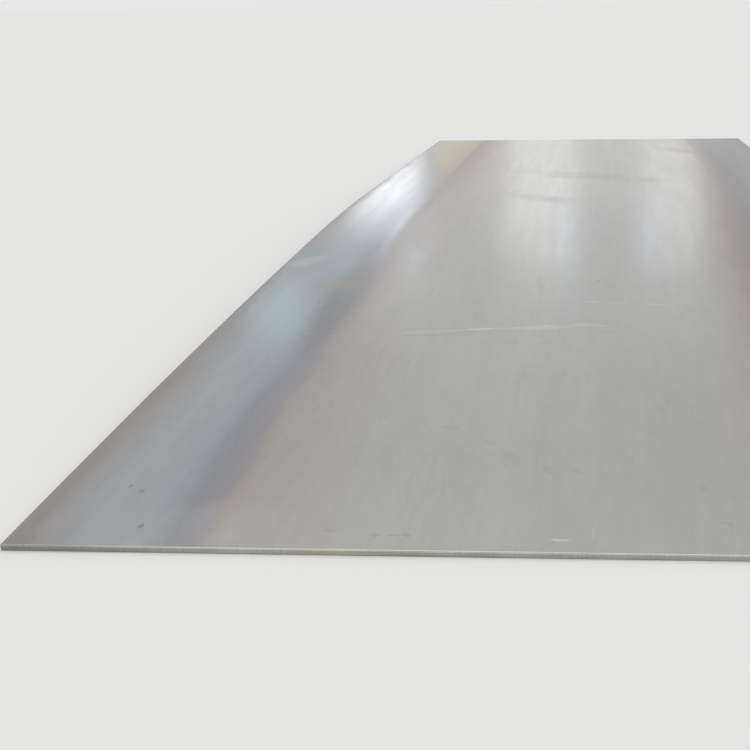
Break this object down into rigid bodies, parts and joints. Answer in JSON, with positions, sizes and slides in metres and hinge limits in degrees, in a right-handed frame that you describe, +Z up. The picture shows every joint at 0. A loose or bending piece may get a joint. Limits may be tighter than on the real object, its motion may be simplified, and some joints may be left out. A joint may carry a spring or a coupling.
{
  "type": "steel plate",
  "caption": "Rectangular hot-rolled steel plate with sheared ends, rounded rolled long edges and a slight bow along its length.",
  "frame": {"origin": "centre of the plate's length and width, at the level of the two end edges that it rests on", "axes": "+Y along the plate's length towards the straight end, +Z up through its thickness, +X across its width"},
  "size_m": [2, 5.9988, 0.083],
  "materials": {
    "mill_scale_steel": "hot-rolled, grey-blue mill scale, bare sheared ends"
  },
  "bodies": {
    "root": {"steel_plate": "mill_scale_steel"}
  },
  "joints": []
}
